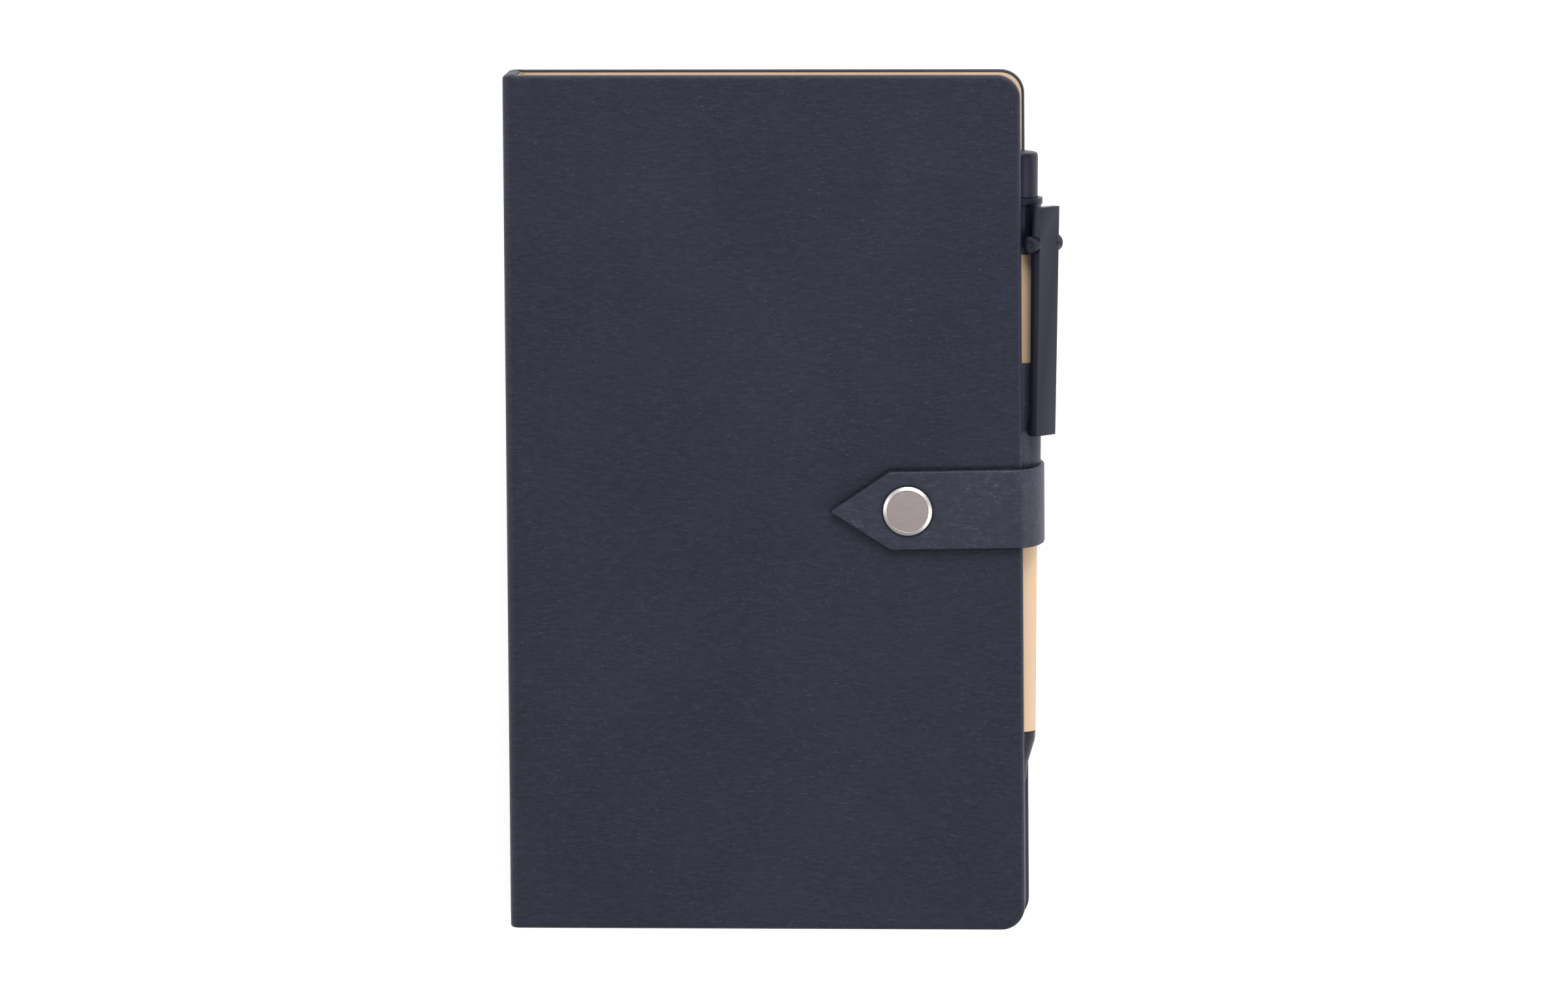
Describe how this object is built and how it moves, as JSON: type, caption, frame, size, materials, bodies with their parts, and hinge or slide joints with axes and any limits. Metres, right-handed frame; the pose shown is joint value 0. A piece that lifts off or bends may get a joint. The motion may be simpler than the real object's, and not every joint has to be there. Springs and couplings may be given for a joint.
{
  "type": "notebook cover",
  "caption": "Leather notebook cover lying closed, with a pointed snap strap, a paper insert and a push-button pen held in a fore-edge loop.",
  "frame": {"origin": "centre of the back cover's outer face, on which the closed book lies", "axes": "+X from the spine to the fore-edge, +Y from the foot to the head, +Z out of the front cover"},
  "size_m": [0.1186, 0.1826, 0.019],
  "materials": {
    "cover_leather": "fine pebble grain, semi-matt",
    "strap_leather": "smooth, semi-matt",
    "lining_paper": "matt kraft paper",
    "greyboard": "raw board",
    "pocket_sheet": "thin coated sheet",
    "insert_card": "kraft card",
    "page_paper": "uncoated cream paper",
    "spine_tape": "woven book tape",
    "snap_metal": "brushed warm nickel",
    "pen_kraft": "rolled kraft paper",
    "pen_plastic": "satin moulded plastic",
    "pen_steel": "drawn wire",
    "refill_tube": "clear-white moulded tube",
    "pen_brass": "turned brass"
  },
  "bodies": {
    "root": {"back_skin": "cover_leather", "back_board": "greyboard", "back_lining": "lining_paper", "back_pocket": "pocket_sheet", "strap_anchor": "strap_leather", "pen_loop": "strap_leather", "insert_back_card": "insert_card", "rear_pages": "page_paper", "insert_spine_tape": "spine_tape"},
    "spine": {"spine_skin": "cover_leather", "spine_board": "greyboard", "spine_lining": "lining_paper"},
    "front_cover": {"front_skin": "cover_leather", "front_board": "greyboard", "front_lining": "lining_paper", "snap_stud": "snap_metal", "snap_rivet": "snap_metal"},
    "front_leaves": {"front_pages": "page_paper", "insert_front_card": "insert_card"},
    "strap_bend": {"strap_side": "strap_leather"},
    "strap_flap": {"strap_tab": "strap_leather", "snap_cap": "snap_metal", "snap_socket": "snap_metal"},
    "pen": {"pen_barrel": "pen_kraft", "pen_tip": "pen_plastic", "pen_clip_mount": "pen_plastic", "clip_pin": "pen_plastic", "pen_spring": "pen_steel"},
    "clip_lever": {"pen_clip": "pen_plastic"},
    "push_button": {"pen_button": "pen_plastic"},
    "refill": {"pen_refill": "refill_tube", "pen_point": "pen_brass", "pen_cam": "refill_tube"}
  },
  "joints": [
    {"name": "spine_fold", "type": "hinge", "parent": "root", "child": "spine", "pos_m": [-0.05365, 0, 0.00135], "axis": [0, -1, 0], "range_deg": [0, 89]},
    {"name": "cover_fold", "type": "hinge", "parent": "spine", "child": "front_cover", "pos_m": [-0.05365, 0, 0.01505], "axis": [0, -1, 0], "range_deg": [0, 89]},
    {"name": "leaf_turn", "type": "hinge", "parent": "root", "child": "front_leaves", "pos_m": [-0.05185, 0, 0.01065], "axis": [0, -1, 0], "range_deg": [0, 165]},
    {"name": "strap_side_fold", "type": "hinge", "parent": "root", "child": "strap_bend", "pos_m": [0.05872, -0.00125, 0.00172], "axis": [0, 1, 0], "range_deg": [0, 80]},
    {"name": "strap_tab_fold", "type": "hinge", "parent": "strap_bend", "child": "strap_flap", "pos_m": [0.05872, -0.00125, 0.01748], "axis": [0, 1, 0], "range_deg": [0, 80]},
    {"name": "pen_slide", "type": "slide", "parent": "root", "child": "pen", "axis": [0.014, 0.9999, 0], "range_m": [0, 0.1]},
    {"name": "clip_press", "type": "hinge", "parent": "pen", "child": "clip_lever", "pos_m": [0.05948, 0.05516, 0.01219], "axis": [-0.5735, 0.008, 0.8192], "range_deg": [0, 8], "stiffness_Nm_per_rad": 0.05, "springref_deg": -5.73},
    {"name": "button_press", "type": "slide", "parent": "pen", "child": "push_button", "axis": [-0.014, -0.9999, 0], "range_m": [0, 0.0045], "stiffness_N_per_m": 300, "springref_m": -0.002},
    {"name": "refill_move", "type": "slide", "parent": "pen", "child": "refill", "axis": [-0.014, -0.9999, 0], "range_m": [0, 0.0045], "deforming": ["pen_spring"]}
  ],
  "couplings": [
    {"joint": "cover_fold", "follows": "spine_fold", "ratio": 1},
    {"joint": "leaf_turn", "follows": "spine_fold", "ratio": 1.85},
    {"joint": "strap_tab_fold", "follows": "strap_side_fold", "ratio": 1},
    {"joint": "refill_move", "follows": "button_press", "ratio": 1}
  ]
}
